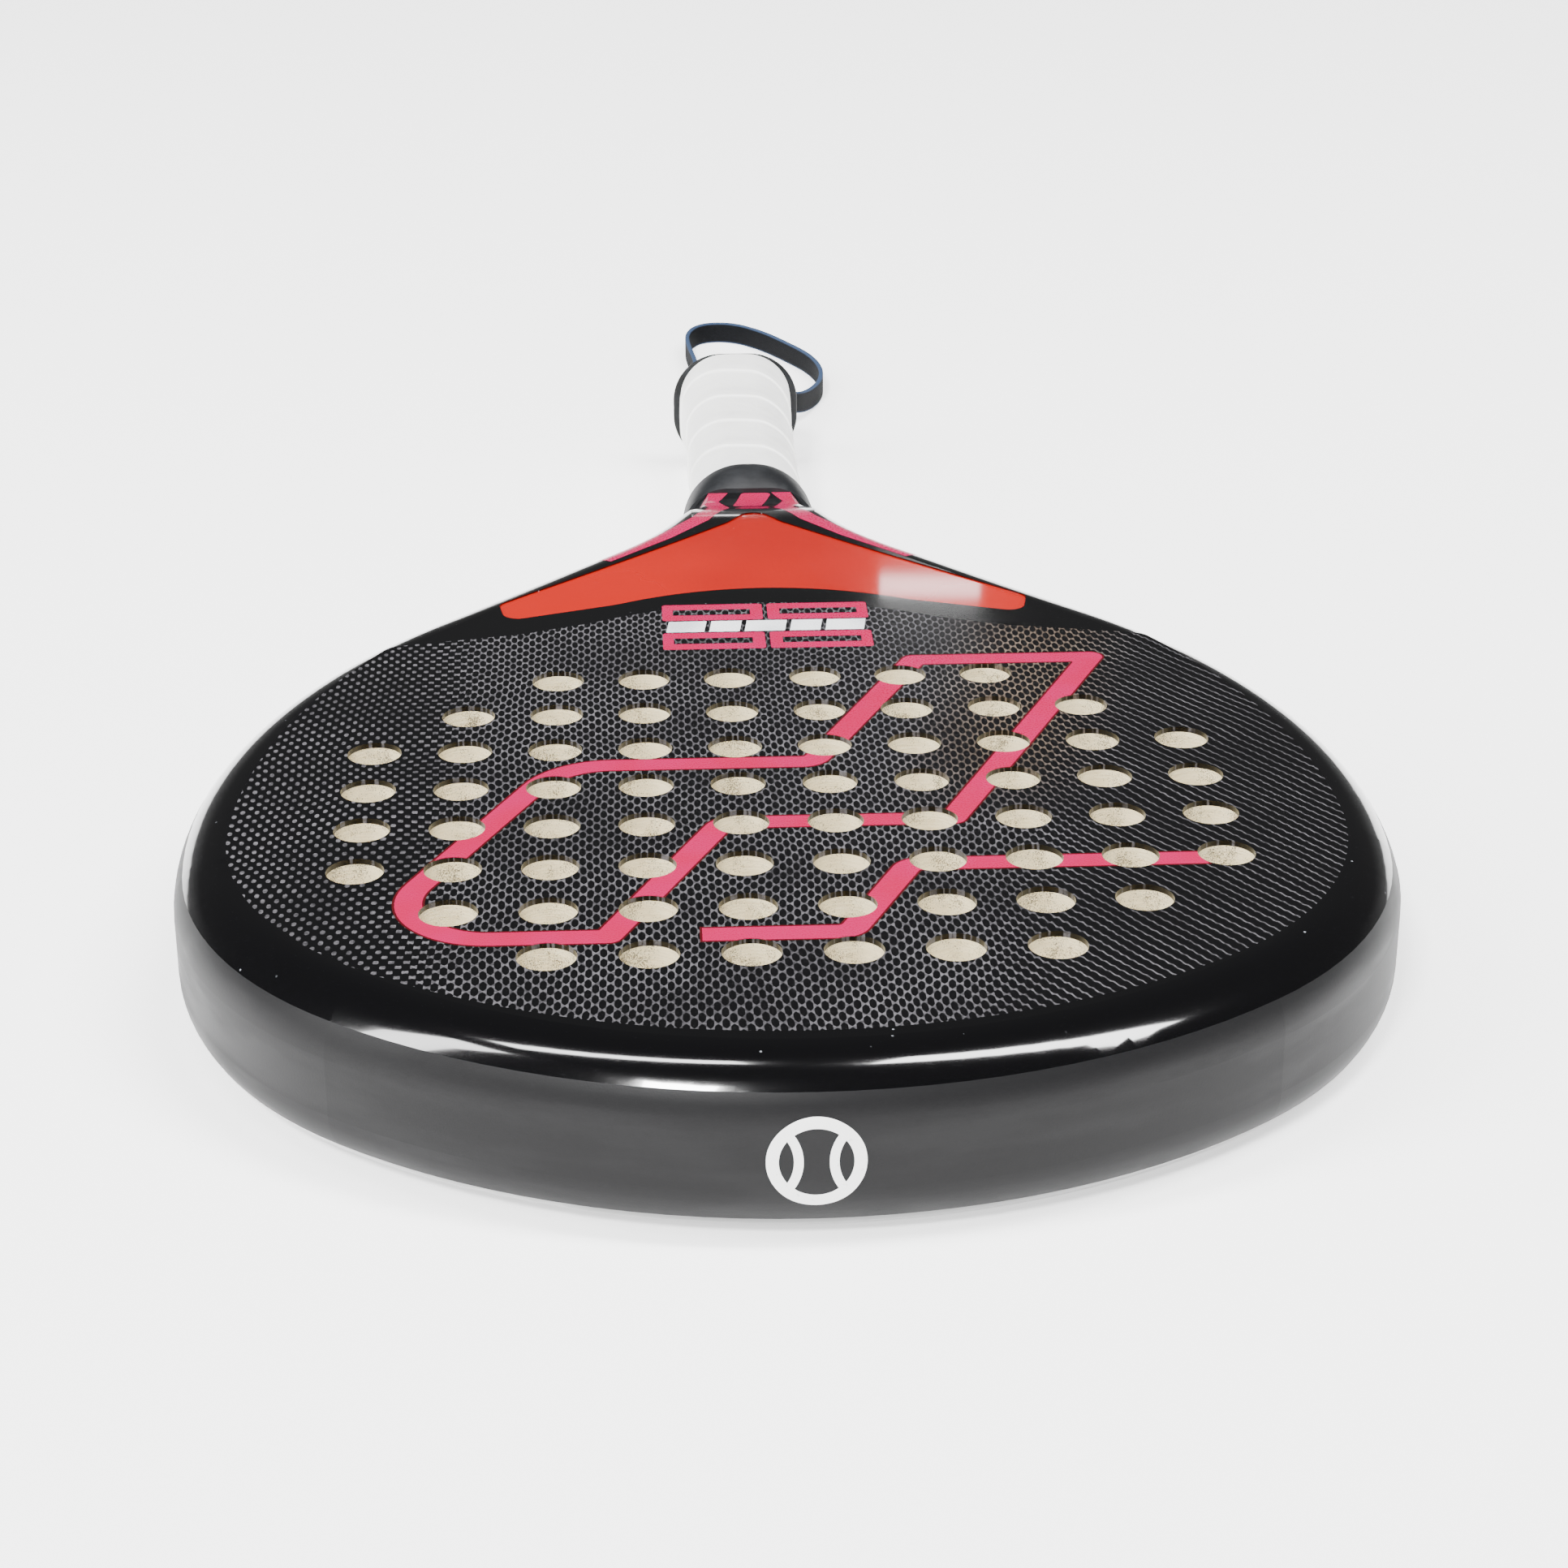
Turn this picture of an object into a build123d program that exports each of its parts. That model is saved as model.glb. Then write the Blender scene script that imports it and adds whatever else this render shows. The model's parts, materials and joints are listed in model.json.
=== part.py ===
"""Padel racket: a hollow gloss frame round a drilled foam core, two resin face skins, a closed throat, a
round-necked handle with its grips and rubber collar, and a wrist strap that swings on a pin in the butt cap.

Millimetres.  The racket lies on its back face on z = 0, +X across the head, +Y from the tip of the head to the
butt of the handle, +Z up out of the front face.  The origin is under the middle of its length and width.
"""

import math
import os

from build123d import *

os.makedirs("parts", exist_ok=True)

# --- Overall size ---------------------------------------------------------------------------------------
LENGTH = 455.0
THICK = 38.0
MID_Z = THICK / 2
TIP_Y = -LENGTH / 2
BUTT_Y = LENGTH / 2

# --- Head outline: tangent arcs from the tip round one side, then a straight shoulder and the neck arc --
TIP_ARC_R = 149.0
TIP_ARC_DEG = 38.4
CORNER_ARC_R = 98.0
CORNER_ARC_DEG = 45.2
SIDE_ARC_R = 171.8
SIDE_ARC_DEG = 48.2
NECK_ARC_R = 103.8
NECK_HALF_W = 15.4
RIM_R = 12.7

# --- Hole grid ------------------------------------------------------------------------------------------
PITCH = 20.0
HOLE_R = 6.0
GRID_Y = -109.4
ROW_COUNTS = (6, 8, 10, 10, 10, 10, 8, 6)

# --- Walls and layers -----------------------------------------------------------------------------------
FRAME_WALL = 2.6
BRIDGE_WALL = 2.0
SKIN_T = 1.2
SKIN_LEDGE = 3.0
PANEL_T = 1.8
PANEL_SINK = 0.35
PANEL_LEDGE = 2.5
PRINT_T = 0.15
BRIDGE_HALF_W = 51.0
BRIDGE_MIDDLE_Y = 113.25
BRIDGE_DEPTH = 36.5

# --- Neck, collar and handle ----------------------------------------------------------------------------
NECK_ROUND_R = 18.2
NECK_FLARE_R = 44.0
NECK_FLARE_END_Y = 104.6
NECK_TAPER_START_Y = 68.6
NECK_TAPER_LENGTH = 34.0
NECK_TAPER_DROP = 4.7
NECK_END_Y = 112.0
HOLLOW_END_Y = 84.0
SHELL_START_Y = 86.0
SHELL_END_Y = 219.0
SHELL_W, SHELL_H, SHELL_CORNER_R = 25.0, 26.0, 9.5
SHELL_WALL = 1.5
FOAM_END_Y = 206.0
GRIP_START_Y = NECK_END_Y
BASE_GRIP_T = 2.0
OVERGRIP_T = 0.9
GRIP_FLARE_Y = 200.0
GRIP_FLARE = 1.7
TAPE_T = 0.3
TAPE_LENGTH = 4.0
COLLAR_START_Y = 104.8
COLLAR_CREST_Y = 111.6
COLLAR_END_Y = 118.0
COLLAR_LIP_W, COLLAR_LIP_H, COLLAR_LIP_CORNER_R = 37.2, 31.2, 12.6
COLLAR_CREST_D, COLLAR_CREST_CORNER_R = 37.4, 17.6
COLLAR_END_D, COLLAR_END_CORNER_R = 36.4, 17.1

# --- Edge protector -------------------------------------------------------------------------------------
BUMPER_T = 1.2
BUMPER_LOW_Z = 5.5
BUMPER_HIGH_Z = THICK - BUMPER_LOW_Z
BUMPER_END_Y = GRID_Y + 42.0
EMBLEM_R = 9.4
EMBLEM_LINE = 2.4
EMBLEM_T = 0.3
SEAM_X = 12.6
SEAM_R = 10.2
SEAM_LINE = 1.8

# --- Butt cap, strap pin and strap ----------------------------------------------------------------------
CAP_RIM_START_Y = 225.3
CAP_W, CAP_H, CAP_CORNER_R = 38.2, 34.4, 14.8
CAP_EDGE_R = 1.3
PIN_Y = 220.4
PIN_R = 2.0
PIN_HALF_LENGTH = 9.0
EYE_CLEARANCE = 0.06
EYE_T = 1.4
MOUTH_R = 4.6
MOUTH_HALF_W = 12.0
MOUTH_HALF_H = 4.7
STRAP_W = 7.0
STRAP_T = 1.4
STRAND_X = 0.9
EYE_END_Y = BUTT_Y + 2.0

# --- Prints, given from the middle of the hole grid -----------------------------------------------------
RIBBON_W = 6.6
KEYLINE = 0.5
RIBBON_POINTS = ((-49, 21), (7, 21), (34, 79), (76, 79), (35, -10), (-14, -10), (-38, -62), (-88, -62))
RIBBON_RADII = (18, 4, 0, 0, 0, 4, 0, 17)
STEP_POINTS = ((-20, -62), (10, -62), (24, -32), (86, -32))
BAR_MIDDLE_Y = 103.0
BAR_H = 7.0
BAR_SLANT = 0.8
BAR_PLATES = ((-24.4, -15.2), (-14.0, -6.6), (-5.4, 4.4), (5.6, 13.0), (14.2, 23.6))
BRACKET_X = 12.9
BRACKET_W = 24.6
BRACKET_H = 10.6
BRACKET_OFFSET_Y = 9.4
STRIPE_W = 5.0
STRIPE_POINTS = ((39.6, 151.2), (24.0, 168), (14.2, 181), (8.4, 197), (11.4, 206.5), (8, 216))
PATCH_POINTS = ((-5.2, 200), (2.6, 200), (6.0, 214), (-2.2, 214))


def grid(x: float, y: float) -> tuple[float, float]:
    """A point given from the middle of the hole grid, in the racket's own frame."""
    return (x, GRID_Y + y)


# ========================================================================================================
# Outer form
# ========================================================================================================

FULL_TURN = TIP_ARC_DEG + CORNER_ARC_DEG + SIDE_ARC_DEG
NECK_TURN = FULL_TURN - 90.0


def side_end_x() -> float:
    """X where the side arc ends and the straight shoulder starts."""
    x = 0.0
    heading = 0.0
    for radius, size in ((TIP_ARC_R, TIP_ARC_DEG), (CORNER_ARC_R, CORNER_ARC_DEG), (SIDE_ARC_R, SIDE_ARC_DEG)):
        start = math.radians(heading)
        heading += size
        x += radius * (math.sin(math.radians(heading)) - math.sin(start))
    return x


NECK_ARC_DX = NECK_ARC_R * (1 - math.cos(math.radians(NECK_TURN)))
SHOULDER_RUN = (side_end_x() - NECK_ARC_DX - NECK_HALF_W) / math.sin(math.radians(NECK_TURN))


def racket_plan(inset: float) -> Sketch:
    """Plan of head, shoulders and neck, moved inwards by inset."""
    with BuildSketch() as plan:
        with BuildLine():
            tip = JernArc((0, TIP_Y + inset), (1, 0), TIP_ARC_R - inset, TIP_ARC_DEG)
            corner = JernArc(tip @ 1, tip % 1, CORNER_ARC_R - inset, CORNER_ARC_DEG)
            side = JernArc(corner @ 1, corner % 1, SIDE_ARC_R - inset, SIDE_ARC_DEG)
            shoulder = Line(side @ 1, (side @ 1) + (side % 1) * SHOULDER_RUN)
            neck = JernArc(shoulder @ 1, shoulder % 1, NECK_ARC_R + inset, -NECK_TURN)
            Line(neck @ 1, (0, (neck @ 1).Y))
            Line((0, (neck @ 1).Y), (0, TIP_Y + inset))
        make_face()
        mirror(about=Plane.YZ)
    return plan.sketch


def envelope(inset: float) -> Part:
    """The racket's outside down to the collar, moved inwards by inset on every side."""
    bend_r = (NECK_TAPER_LENGTH**2 + NECK_TAPER_DROP**2) / (4 * NECK_TAPER_DROP)
    bend_deg = math.degrees(math.atan2(NECK_TAPER_LENGTH, 2 * bend_r - NECK_TAPER_DROP))
    taper_end_y = NECK_TAPER_START_Y + NECK_TAPER_LENGTH
    neck_z = THICK - NECK_TAPER_DROP
    round_r = NECK_ROUND_R - inset
    with BuildPart() as body:
        with BuildSketch(Plane.XY.offset(inset)):
            add(racket_plan(inset))
        extrude(amount=THICK - 2 * inset)
        end_y = body.part.bounding_box().max.Y
        rims = body.edges().filter_by(Plane.XY).filter_by(lambda edge: edge.center().Y < end_y - 1)
        fillet(rims, RIM_R - inset)
        with BuildSketch(Plane.YZ):
            with BuildLine():
                top = Line((TIP_Y - 1, THICK - inset), (NECK_TAPER_START_Y, THICK - inset))
                CenterArc((NECK_TAPER_START_Y, THICK - bend_r), bend_r - inset, 90, -bend_deg)
                CenterArc((taper_end_y, neck_z + bend_r), bend_r + inset, 270 - bend_deg, bend_deg)
                Polyline((taper_end_y, neck_z - inset), (NECK_END_Y, neck_z - inset), (NECK_END_Y, MID_Z))
                Polyline((NECK_END_Y, MID_Z), (TIP_Y - 1, MID_Z), top @ 0)
            make_face()
            mirror(about=Plane.XZ.offset(-MID_Z))
        extrude(amount=LENGTH, both=True, mode=Mode.INTERSECT)
        with BuildSketch(Plane.XY.offset(MID_Z)):
            with BuildLine():
                shaft = Line((round_r, NECK_END_Y + 1), (round_r, NECK_FLARE_END_Y))
                flare_x = NECK_ROUND_R + NECK_FLARE_R
                CenterArc((flare_x, NECK_FLARE_END_Y), NECK_FLARE_R + inset, 180, 90)
                low_y = NECK_FLARE_END_Y - NECK_FLARE_R - inset
                Polyline((flare_x, low_y), (LENGTH, low_y), (LENGTH, TIP_Y - 1), (0, TIP_Y - 1))
                Polyline((0, TIP_Y - 1), (0, NECK_END_Y + 1), shaft @ 0)
            make_face()
        revolve(axis=Axis((0, 0, MID_Z), (0, 1, 0)), mode=Mode.INTERSECT)
    return body.part


OUTSIDE = envelope(0)


def prism(sketch: Sketch, low: float, high: float) -> Part:
    """A plan sketch extruded between two heights."""
    with BuildPart() as block:
        with BuildSketch(Plane.XY.offset(low)):
            add(sketch)
        extrude(amount=high - low)
    return block.part


def flip(part: Part) -> Part:
    """The same piece on the back of the racket."""
    return part.mirror(Plane.XY.offset(MID_Z))


def save(part: Part, name: str) -> None:
    """Label a finished piece and write its STEP file."""
    part.label = name
    export_step(part, f"parts/{name}.step")
    print(f"{name:28s} {part.volume / 1000:8.2f} cm3")


# ========================================================================================================
# Plans of the face, the throat panel and the bridge
# ========================================================================================================

FACE_TIP_R = 144.0
FACE_TIP_DEG = 35.0
FACE_HALF_W = 118.2
FACE_TIP_Y = -102.4
FACE_CORNER_R = 5.0


def face_plan() -> Sketch:
    """Plan of the woven face: round below, with a crowned top edge under the throat."""
    turn = math.radians(FACE_TIP_DEG)
    bilge_r = (FACE_HALF_W - FACE_TIP_R * math.sin(turn)) / (1 - math.sin(turn))
    with BuildSketch() as plan:
        with BuildLine():
            tip = JernArc(grid(0, FACE_TIP_Y), (1, 0), FACE_TIP_R, FACE_TIP_DEG)
            bilge = JernArc(tip @ 1, tip % 1, bilge_r, 90 - FACE_TIP_DEG)
            side = JernArc(bilge @ 1, bilge % 1, 200.0, 30.5)
            shoulder = Line(side @ 1, grid(59, 100.2))
            brow = Line(shoulder @ 1, grid(42, 107.0))
            ThreePointArc(brow @ 1, grid(21, 115.7), grid(0, 118.4))
            Line(grid(0, 118.4), grid(0, FACE_TIP_Y))
        make_face()
        mirror(about=Plane.YZ)
        corners = plan.vertices().filter_by(lambda v: abs(v.X) > 80 and v.Y > GRID_Y + 80)
        fillet(corners, FACE_CORNER_R)
        brows = plan.vertices().filter_by(lambda v: 58 < abs(v.X) < 60 and v.Y > GRID_Y + 80)
        fillet(brows, 18.0)
    return plan.sketch


def throat_panel_plan() -> Sketch:
    """Plan of the coral throat panel: a chevron with a crowned lower edge and rounded tips."""
    with BuildSketch() as plan:
        with BuildLine():
            apex = Line(grid(0, 187), grid(2.6, 185.8))
            flank = Line(apex @ 1, grid(6.6, 178.5))
            arm = ThreePointArc(flank @ 1, grid(34.4, 150.4), grid(65.5, 121))
            tip = Line(arm @ 1, grid(63.5, 109.2))
            foot = Line(tip @ 1, grid(36, 119.0))
            ThreePointArc(foot @ 1, grid(18.5, 126.2), grid(0, 128.7))
            Line(grid(0, 128.7), grid(0, 187))
        make_face()
        mirror(about=Plane.YZ)
        tips = plan.vertices().filter_by(lambda v: abs(v.X) > 60)
        fillet(tips, 4.0)
        apexes = plan.vertices().filter_by(lambda v: v.Y > GRID_Y + 184)
        fillet(apexes, 1.8)
        flanks = plan.vertices().filter_by(lambda v: 6 < abs(v.X) < 7)
        fillet(flanks, 8.0)
        feet = plan.vertices().filter_by(lambda v: 35 < abs(v.X) < 37 and v.Y < GRID_Y + 125)
        fillet(feet, 30.0)
    return plan.sketch


def grown(sketch: Sketch, amount: float) -> Sketch:
    """A sketch offset outwards, or inwards when amount is negative."""
    with BuildSketch() as result:
        add(sketch)
        offset(amount=amount)
    return result.sketch


FACE = face_plan()
CORE = grown(FACE, -SKIN_LEDGE)
PANEL = throat_panel_plan()
WINDOW = grown(PANEL, -PANEL_LEDGE)


def bridge_plan(inset: float) -> Sketch:
    """Plan of the bridge between the face core and the throat window, moved inwards by inset."""
    with BuildSketch() as plan:
        with Locations(grid(0, BRIDGE_MIDDLE_Y)):
            Rectangle(2 * (BRIDGE_HALF_W - inset), BRIDGE_DEPTH)
        add(grown(CORE, inset) if inset else CORE, mode=Mode.SUBTRACT)
        add(grown(WINDOW, inset) if inset else WINDOW, mode=Mode.SUBTRACT)
    return plan.sketch


# ========================================================================================================
# Printed shapes
# ========================================================================================================


def ribbon_plan() -> Sketch:
    """The big closed ribbon on the face: two slanted boxes that share their middle."""
    half = RIBBON_W / 2
    with BuildSketch() as middle:
        with BuildLine():
            FilletPolyline(*[grid(*point) for point in RIBBON_POINTS], radius=RIBBON_RADII, close=True)
        make_face()
    with BuildSketch() as plan:
        add(grown(middle.sketch, half))
        add(grown(middle.sketch, -half), mode=Mode.SUBTRACT)
    return plan.sketch


def step_ribbon_plan() -> Sketch:
    """The open stepped ribbon at the lower right of the face."""
    with BuildSketch() as plan:
        with BuildLine() as route:
            FilletPolyline(*[grid(*point) for point in STEP_POINTS], radius=RIBBON_W * 0.6)
        trace(route.line, line_width=RIBBON_W)
    return plan.sketch


def bracket_plan() -> Sketch:
    """Four slotted brackets round the name bar."""
    with BuildSketch() as plan:
        for side in (-1, 1):
            for level in (-1, 1):
                with Locations(grid(side * BRACKET_X, BAR_MIDDLE_Y + level * BRACKET_OFFSET_Y)):
                    RectangleRounded(BRACKET_W, BRACKET_H, 0.9)
                with Locations(grid(side * (BRACKET_X + 0.2), BAR_MIDDLE_Y + level * BRACKET_OFFSET_Y)):
                    Rectangle(BRACKET_W - 5.6, BRACKET_H - 7.0, mode=Mode.SUBTRACT)
    return plan.sketch


def bar_plan() -> Sketch:
    """The plain silver bar between the brackets, slit into plates with slanted ends."""
    with BuildSketch() as plan:
        for start, end in BAR_PLATES:
            low, high = BAR_MIDDLE_Y - BAR_H / 2, BAR_MIDDLE_Y + BAR_H / 2
            with BuildLine():
                corners = ((start, low), (end, low), (end + BAR_SLANT, high), (start + BAR_SLANT, high))
                Polyline(*[grid(*corner) for corner in corners], close=True)
            make_face()
    return plan.sketch


def arm_stripe_plan() -> Sketch:
    """A stripe along each shoulder that hooks inwards and out again at the neck."""
    with BuildSketch() as plan:
        with BuildLine() as route:
            FilletPolyline(*[grid(*point) for point in STRIPE_POINTS], radius=3.0)
        trace(route.line, line_width=STRIPE_W)
        mirror(about=Plane.YZ)
    return plan.sketch


def neck_patch_plan() -> Sketch:
    """The slanted patch between the stripes, just below the collar."""
    with BuildSketch() as plan:
        with BuildLine():
            Polyline(*[grid(*point) for point in PATCH_POINTS], close=True)
        make_face()
        fillet(plan.vertices(), 1.4)
    return plan.sketch


def emblem_block() -> Part:
    """A ball with its two seams, pushed back into the tip of the head."""
    with BuildSketch() as seams:
        with Locations((-SEAM_X, 0), (SEAM_X, 0)):
            Circle(SEAM_R)
        with Locations((-SEAM_X, 0), (SEAM_X, 0)):
            Circle(SEAM_R - SEAM_LINE, mode=Mode.SUBTRACT)
        Circle(EMBLEM_R - EMBLEM_LINE / 2, mode=Mode.INTERSECT)
    with BuildPart() as block:
        with BuildSketch(Plane(origin=(0, TIP_Y - 1, MID_Z), x_dir=(1, 0, 0), z_dir=(0, -1, 0))):
            Circle(EMBLEM_R)
            Circle(EMBLEM_R - EMBLEM_LINE, mode=Mode.SUBTRACT)
            add(seams.sketch)
        extrude(amount=-8)
    return block.part


def keyline_plan(plan: Sketch) -> Sketch:
    """The thin line that runs just inside a print's outline."""
    with BuildSketch() as line:
        add(plan)
        add(grown(plan, -KEYLINE), mode=Mode.SUBTRACT)
    return line.sketch


def surface_print(plan: Sketch) -> Part:
    """A thin print let into the front surface of the racket."""
    with BuildPart() as film:
        add(prism(plan, MID_Z + 5, THICK + 1))
        add(OUTSIDE, mode=Mode.INTERSECT)
        add(UNDER_PRINT, mode=Mode.SUBTRACT)
    return film.part


# ========================================================================================================
# Head: frame, core, skins, bridge, throat
# ========================================================================================================

UNDER_PRINT = envelope(PRINT_T)
UNDER_BUMPER = envelope(BUMPER_T)
UNDER_PANEL = envelope(PANEL_SINK + PANEL_T)
PANEL_TOP = envelope(PANEL_SINK)

core_prism = prism(CORE, -1, THICK + 1)
window_prism = prism(WINDOW, -1, THICK + 1)
skin_prism = prism(FACE, THICK - SKIN_T, THICK + 1)
panel_prism = prism(PANEL, MID_Z, THICK + 1)

stripes_front = surface_print(arm_stripe_plan())
patch_front = surface_print(neck_patch_plan())

with BuildPart() as panel_block:
    add(panel_prism)
    add(UNDER_PANEL, mode=Mode.SUBTRACT)

with BuildPart() as throat_panel_front:
    add(panel_prism)
    add(PANEL_TOP, mode=Mode.INTERSECT)
    add(UNDER_PANEL, mode=Mode.SUBTRACT)
save(throat_panel_front.part, "throat_panel_front")
save(flip(throat_panel_front.part), "throat_panel_back")

with BuildPart() as bumper_zone:
    with BuildSketch(Plane.XY.offset(BUMPER_LOW_Z)):
        with Locations((0, (TIP_Y - 5 + BUMPER_END_Y) / 2)):
            Rectangle(THICK * 10, BUMPER_END_Y - TIP_Y + 5)
    extrude(amount=BUMPER_HIGH_Z - BUMPER_LOW_Z)

with BuildPart() as bumper_strip:
    add(OUTSIDE)
    add(bumper_zone.part, mode=Mode.INTERSECT)
    add(UNDER_BUMPER, mode=Mode.SUBTRACT)

with BuildPart() as tip_emblem:
    add(emblem_block())
    add(OUTSIDE, mode=Mode.INTERSECT)
    add(envelope(EMBLEM_T), mode=Mode.SUBTRACT)
save(tip_emblem.part, "tip_emblem")

with BuildPart() as edge_protector:
    add(bumper_strip.part)
    add(tip_emblem.part, mode=Mode.SUBTRACT)
save(edge_protector.part, "edge_protector")


def shell_block(start_y: float, end_y: float, shrink: float) -> Part:
    """A rounded bar along the handle, the handle tube's outside less shrink on every side."""
    with BuildPart() as bar:
        with BuildSketch(Plane(origin=(0, start_y, MID_Z), x_dir=(1, 0, 0), z_dir=(0, 1, 0))):
            RectangleRounded(SHELL_W - 2 * shrink, SHELL_H - 2 * shrink, SHELL_CORNER_R - shrink)
        extrude(amount=end_y - start_y)
    return bar.part


with BuildPart() as inner_block:
    with BuildSketch(Plane.XY.offset(-1)):
        add(CORE)
        add(WINDOW)
        add(bridge_plan(0))
    extrude(amount=THICK + 2)

with BuildPart() as frame_hollow:
    add(envelope(FRAME_WALL))
    with BuildSketch(Plane.XY):
        add(grown(CORE, FRAME_WALL))
        add(grown(WINDOW, FRAME_WALL))
        add(grown(bridge_plan(0), FRAME_WALL))
        with Locations((0, HOLLOW_END_Y + 50)):
            Rectangle(200, 100)
    extrude(amount=THICK, mode=Mode.SUBTRACT)
    with BuildSketch(Plane.XY):
        add(grown(PANEL, FRAME_WALL))
        add(grown(FACE, FRAME_WALL))
    extrude(amount=PANEL_SINK + PANEL_T + FRAME_WALL, mode=Mode.SUBTRACT)
    with BuildSketch(Plane.XY.offset(THICK)):
        add(grown(PANEL, FRAME_WALL))
        add(grown(FACE, FRAME_WALL))
    extrude(amount=-(PANEL_SINK + PANEL_T + FRAME_WALL), mode=Mode.SUBTRACT)

with BuildPart() as frame_tube:
    add(OUTSIDE)
    add(inner_block.part, mode=Mode.SUBTRACT)
    add(frame_hollow.part, mode=Mode.SUBTRACT)
    add(bumper_strip.part, mode=Mode.SUBTRACT)
    for rebate in (skin_prism, panel_block.part, stripes_front, patch_front):
        add(rebate, mode=Mode.SUBTRACT)
        add(flip(rebate), mode=Mode.SUBTRACT)
    add(shell_block(SHELL_START_Y, SHELL_END_Y, 0), mode=Mode.SUBTRACT)
save(frame_tube.part, "frame_tube")
save(stripes_front, "arm_stripes_front")
save(flip(stripes_front), "arm_stripes_back")
save(patch_front, "neck_patch_front")
save(flip(patch_front), "neck_patch_back")

with BuildPart() as throat_bridge:
    add(prism(bridge_plan(0), 0, THICK))
    floor_z = PANEL_SINK + PANEL_T + BRIDGE_WALL
    add(prism(bridge_plan(BRIDGE_WALL), floor_z, THICK - floor_z), mode=Mode.SUBTRACT)
    for rebate in (skin_prism, panel_block.part):
        add(rebate, mode=Mode.SUBTRACT)
        add(flip(rebate), mode=Mode.SUBTRACT)
bridge = throat_bridge.part

with BuildPart() as throat_core:
    add(window_prism)
    add(UNDER_PANEL, mode=Mode.INTERSECT)
    with BuildSketch(Plane.XY.offset(-1)):
        with Locations((0, SHELL_START_Y + 50)):
            Rectangle(100, 100)
    extrude(amount=THICK + 2, mode=Mode.SUBTRACT)
save(throat_core.part, "throat_core")

HOLES = [
    grid((column - (count - 1) / 2) * PITCH, ((len(ROW_COUNTS) - 1) / 2 - row) * PITCH)
    for row, count in enumerate(ROW_COUNTS)
    for column in range(count)
]

with BuildPart() as core_foam:
    with BuildSketch(Plane.XY.offset(SKIN_T)):
        add(CORE)
        with Locations(*HOLES):
            Circle(HOLE_R, mode=Mode.SUBTRACT)
    extrude(amount=THICK - 2 * SKIN_T)
save(core_foam.part, "core_foam")


def face_print(plan: Sketch) -> Part:
    """A print let into the front skin, drilled through with it."""
    with BuildPart() as film:
        with BuildSketch(Plane.XY.offset(THICK - PRINT_T)):
            add(plan)
            with Locations(*HOLES):
                Circle(HOLE_R, mode=Mode.SUBTRACT)
        extrude(amount=PRINT_T)
    return film.part


face_prints = {
    "face_ribbon": face_print(grown(ribbon_plan(), -KEYLINE)),
    "face_ribbon_keyline": face_print(keyline_plan(ribbon_plan())),
    "step_ribbon": face_print(grown(step_ribbon_plan(), -KEYLINE)),
    "step_ribbon_keyline": face_print(keyline_plan(step_ribbon_plan())),
    "name_brackets": face_print(bracket_plan()),
    "name_bar": face_print(bar_plan()),
}

for film in (face_prints["name_brackets"], flip(face_prints["name_brackets"])):
    with BuildPart() as cut_bridge:
        add(bridge)
        add(film, mode=Mode.SUBTRACT)
    bridge = cut_bridge.part
save(bridge, "throat_bridge")

with BuildPart() as face_skin_front:
    with BuildSketch(Plane.XY.offset(THICK - SKIN_T)):
        add(FACE)
        with Locations(*HOLES):
            Circle(HOLE_R, mode=Mode.SUBTRACT)
    extrude(amount=SKIN_T)
    for film in face_prints.values():
        add(film, mode=Mode.SUBTRACT)
save(face_skin_front.part, "face_skin_front")
save(flip(face_skin_front.part), "face_skin_back")
for name, film in face_prints.items():
    save(film, f"{name}_front")
    save(flip(film), f"{name}_back")

# ========================================================================================================
# Handle: tube, foam, grips, tape, collar
# ========================================================================================================

with BuildPart() as handle_tube:
    add(shell_block(SHELL_START_Y, SHELL_END_Y, 0))
    add(shell_block(SHELL_START_Y, SHELL_END_Y, SHELL_WALL), mode=Mode.SUBTRACT)
save(handle_tube.part, "handle_tube")

handle_foam = shell_block(SHELL_START_Y, FOAM_END_Y, SHELL_WALL)
save(handle_foam, "handle_foam")


def grip_block(start_y: float, grow: float) -> Part:
    """The handle tube's outside grown by grow, flaring out to the butt cap."""
    with BuildPart() as bar:
        for y, flare in ((start_y, 0.0), (GRIP_FLARE_Y, 0.3), (SHELL_END_Y, GRIP_FLARE)):
            with BuildSketch(Plane(origin=(0, y, MID_Z), x_dir=(1, 0, 0), z_dir=(0, 1, 0))):
                extra = grow + flare
                RectangleRounded(SHELL_W + 2 * extra, SHELL_H + 2 * extra, SHELL_CORNER_R + extra)
        loft()
    return bar.part


def rounded_bar(start_y: float, end_y: float, width: float, height: float, corner_r: float) -> Part:
    """A rounded bar of constant section along the handle."""
    with BuildPart() as bar:
        with BuildSketch(Plane(origin=(0, start_y, MID_Z), x_dir=(1, 0, 0), z_dir=(0, 1, 0))):
            RectangleRounded(width, height, corner_r)
        extrude(amount=end_y - start_y)
    return bar.part


def cap_block(grow: float) -> Part:
    """The butt cap's flange grown by grow: it carries the flared grip section on to the rim."""
    extra = BASE_GRIP_T + GRIP_FLARE + grow
    width, height = SHELL_W + 2 * extra, SHELL_H + 2 * extra
    return rounded_bar(SHELL_END_Y, CAP_RIM_START_Y, width, height, SHELL_CORNER_R + extra)


with BuildPart() as base_grip:
    add(grip_block(GRIP_START_Y, BASE_GRIP_T))
    add(shell_block(GRIP_START_Y, SHELL_END_Y, 0), mode=Mode.SUBTRACT)
save(base_grip.part, "base_grip")

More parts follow.
